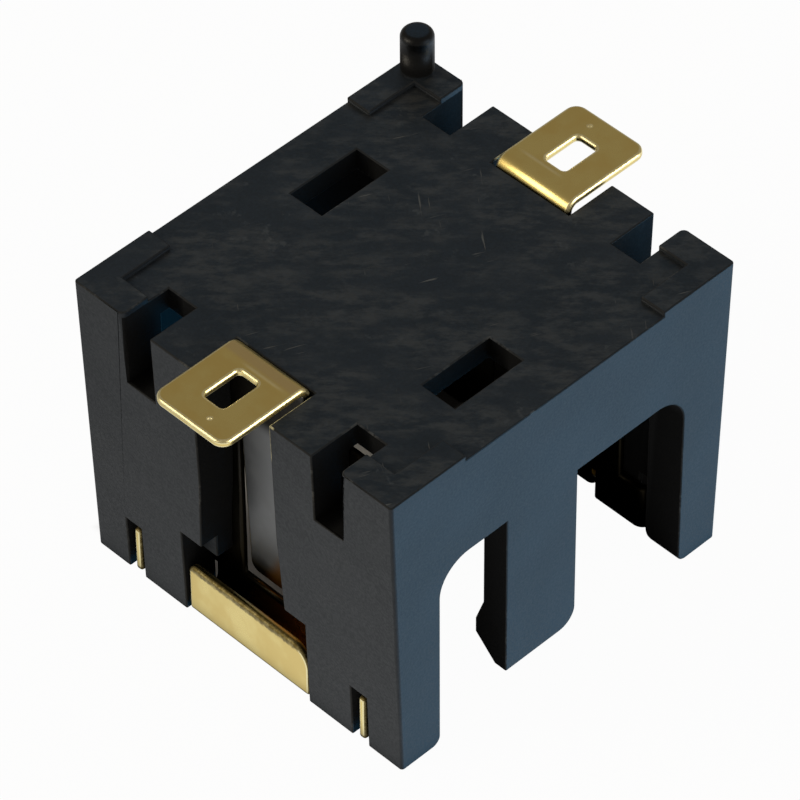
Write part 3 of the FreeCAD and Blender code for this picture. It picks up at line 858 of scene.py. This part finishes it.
# %% The floor
FLOOR_HALF = 600 * MM
FLOOR_WHITE = 0.97
FLOOR_PALE = grey(0.8)
FLOOR_UNLIT = grey(0.02)
FLOOR_ROUGHNESS = 0.8
SHADED = ((-7.2, -6.4), (0.8, 10.0), 0.6)
UNLIT = ((-4.9, 4.9), (-2.9, 6.4), 0.3)
FOOTPRINT = ((-7.0, -7.2), (7.0, 7.2), 0.4)
TABLE_FADE = (-26.0, 8.0)
TABLE_DIM = 0.55


def outside(tree, place, corner_low, corner_high, soft):
    """0 on the floor inside a rectangle in millimetres, rising to 1 over a soft border."""
    parts = parts_of(tree, place)
    away = []
    for i in (0, 1):
        middle = (corner_low[i] + corner_high[i]) / 2
        half = (corner_high[i] - corner_low[i]) / 2
        offset = sums(tree, "ABSOLUTE", sums(tree, "SUBTRACT", parts[i], middle))
        away.append(ramp(tree, offset, half - soft, half + soft))
    return sums(tree, "MAXIMUM", *away)


def make_floor_finish():
    """A pale surface that looks white to the camera and in reflections."""
    material, tree, shader, place = new_finish("pale_floor")
    base = blend(tree, outside(tree, place, *UNLIT), FLOOR_UNLIT, FLOOR_PALE)
    tree.links.new(base, shader.inputs["Base Color"])
    shader.inputs["Roughness"].default_value = FLOOR_ROUGHNESS
    path = add(tree, "ShaderNodeLightPath", {}).outputs
    mirrored = sums(tree, "MAXIMUM", path["Is Glossy Ray"], path["Is Transmission Ray"])
    fade = ramp(tree, parts_of(tree, place)[0], *TABLE_FADE, TABLE_DIM, 1.0)
    seen = sums(tree, "MULTIPLY", outside(tree, place, *FOOTPRINT), fade)
    strength = add(tree, "ShaderNodeMix", {0: mirrored, 2: 1.0, 3: seen}).outputs[0]
    glow = add(tree, "ShaderNodeEmission", {"Color": grey(1.0), "Strength": strength})
    direct = sums(tree, "MULTIPLY", path["Is Camera Ray"], outside(tree, place, *SHADED))
    white = sums(tree, "MULTIPLY", sums(tree, "MAXIMUM", mirrored, direct), FLOOR_WHITE)
    mixer = add(tree, "ShaderNodeMixShader", {0: white, 1: shader.outputs[0], 2: glow.outputs[0]})
    output = [node for node in tree.nodes if node.bl_idname == "ShaderNodeOutputMaterial"][0]
    tree.links.new(mixer.outputs[0], output.inputs["Surface"])
    return material


floor_data = bpy.data.meshes.new("floor")
corners = [(-FLOOR_HALF, -FLOOR_HALF, 0), (FLOOR_HALF, -FLOOR_HALF, 0),
           (FLOOR_HALF, FLOOR_HALF, 0), (-FLOOR_HALF, FLOOR_HALF, 0)]
floor_data.from_pydata(corners, [], [(0, 1, 2, 3)])
floor = bpy.data.objects.new("floor", floor_data)
bpy.context.collection.objects.link(floor)
dress(floor, [make_floor_finish()])
print("floor is", 2 * FLOOR_HALF, "m across")

# %% [markdown]
# ## Light
#
# Black plastic and polished metal show what they reflect. In the photograph the top face is
# darker than the sides, because it reflects the dim side of the room behind the object,
# while the sides reflect the table. The sky of the scene is therefore a dim warm grey, and
# a warm-white lamp stands to the left in front. The right wall looks blue, and a cool lamp
# makes it so: it shines up through the floor, which casts no shadow for it, and it reaches
# the housing only, so that the gold stays yellow. A fill lamp on the right and a weak sky
# lamp behind lift the housing a little more. The last lamp reaches the metal alone, so that
# the gold stands out.

# %% The sky
SKY_LEVEL = 0.28
SKY_TINT = (1.0, 0.9, 0.76, 1.0)
world = bpy.data.worlds.new("studio")
bpy.context.scene.world = world
world.use_nodes = True
sky = world.node_tree
sky.nodes.clear()
direct_view = add(sky, "ShaderNodeLightPath", {}).outputs["Is Camera Ray"]
level = sums(sky, "MAXIMUM", direct_view, SKY_LEVEL)
tint = blend(sky, direct_view, SKY_TINT, grey(1.0))
background = add(sky, "ShaderNodeBackground", {"Color": tint, "Strength": level})
add(sky, "ShaderNodeOutputWorld", {"Surface": background.outputs[0]})
print("sky level", SKY_LEVEL)

# %% The lamps
def hang_lamp(name, azimuth, height, distance_mm, size_mm, watts, colour, reached):
    """A square lamp that faces the object and reaches one group of pieces, or all."""
    away = direction(math.radians(azimuth), math.radians(height))
    data = bpy.data.lights.new(name, "AREA")
    data.shape = "SQUARE"
    data.size = size_mm * MM
    data.energy = watts
    data.color = colour
    lamp = bpy.data.objects.new(name, data)
    lamp.location = away * distance_mm * MM
    lamp.rotation_euler = away.to_track_quat("Z", "Y").to_euler()
    lamp.light_linking.receiver_collection = reached
    bpy.context.collection.objects.link(lamp)
    print(name, "at", [round(value / MM) for value in lamp.location], "mm")
    return lamp


def group_of(name, pieces):
    """A group of pieces that a lamp can be tied to."""
    group = bpy.data.collections.new(name)
    for piece in pieces:
        group.objects.link(piece)
    return group


black = group_of("black_parts", [housing])
metal = group_of("metal_parts", contacts + pips)
# Each lamp: its two angles, its distance and size, its watts, its colour, what it reaches.
LAMPS = {
    "key_lamp": (-28, 28, 420, 220, 0.66, (1.0, 0.91, 0.75), None),
    "cool_lamp": (135, -42, 420, 260, 1.6, (0.06, 0.53, 1.0), black),
    "fill_lamp": (108, 18, 500, 300, 0.6, (0.6, 0.8, 1.0), black),
    "sky_lamp": (222, 42, 500, 300, 0.17, (0.22, 0.6, 1.0), black),
    "metal_lamp": (112, 22, 420, 200, 1.6, (1.0, 0.93, 0.78), metal),
}
lamps = {name: hang_lamp(name, *settings) for name, settings in LAMPS.items()}
shades = group_of("shades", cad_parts.values())
lamps["cool_lamp"].light_linking.blocker_collection = shades
